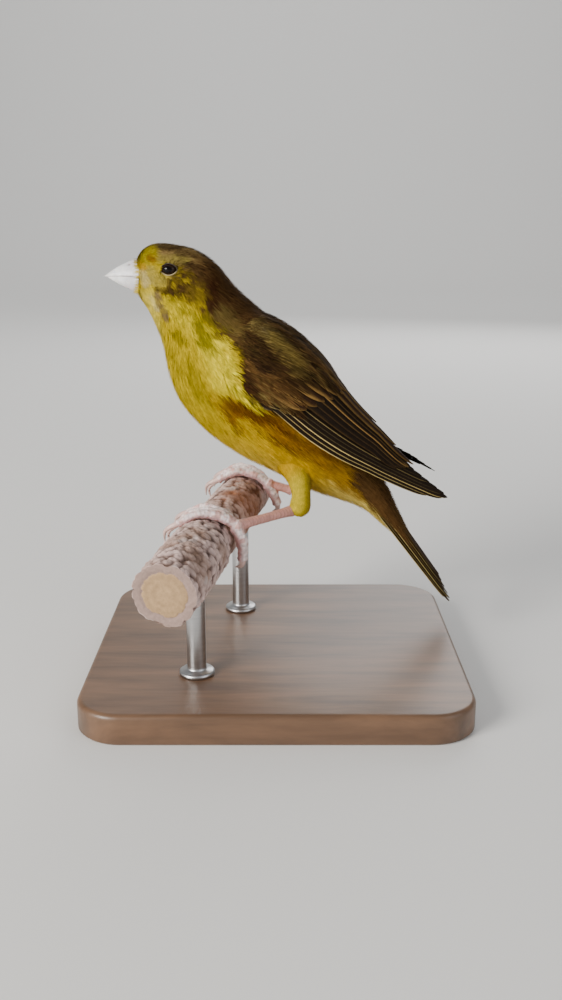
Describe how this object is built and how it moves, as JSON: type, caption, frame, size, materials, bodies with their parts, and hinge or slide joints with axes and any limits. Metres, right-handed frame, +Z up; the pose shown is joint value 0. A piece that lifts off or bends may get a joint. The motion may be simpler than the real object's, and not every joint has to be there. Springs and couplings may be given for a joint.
{
  "type": "canary figure",
  "caption": "Life-size canary at rest, gripping a short cut length of crusted perch on a plain rod stand.",
  "frame": {"origin": "middle of the stand base's flat underside, on the floor", "axes": "+Z up; the bird faces -X, its left side is towards -Y, and its tail hangs towards +X; the perch runs roughly along Y"},
  "size_m": [0.1018, 0.0932, 0.1167],
  "materials": {
    "head_plumage": "soft small feathers, olive yellow with fine dark streaks",
    "body_plumage": "soft small feathers, golden yellow with brown streaks",
    "wing_feathers": "dark brown vanes with pale yellow edges",
    "tail_feathers": "blackish brown vanes with thin yellow edges",
    "bill": "smooth pinkish horn",
    "eye": "wet, almost black brown",
    "foot_skin": "scaly pink skin with pinkish horn claws",
    "perch_crust": "rough sandy crust",
    "stand_wood": "dark oiled wood with a soft sheen",
    "stand_rod": "brushed"
  },
  "bodies": {
    "root": {"head": "head_plumage", "neck": "body_plumage", "torso": "body_plumage", "tail": "tail_feathers", "bill_upper": "bill", "bill_lower": "bill", "eye_left": "eye", "eye_right": "eye", "wing_left": "wing_feathers", "wing_right": "wing_feathers", "thigh_left": "body_plumage", "thigh_right": "body_plumage", "foot_left": "foot_skin", "foot_right": "foot_skin", "perch": "perch_crust", "stand_base": "stand_wood", "stand_rod_front": "stand_rod", "stand_rod_back": "stand_rod"}
  },
  "joints": []
}
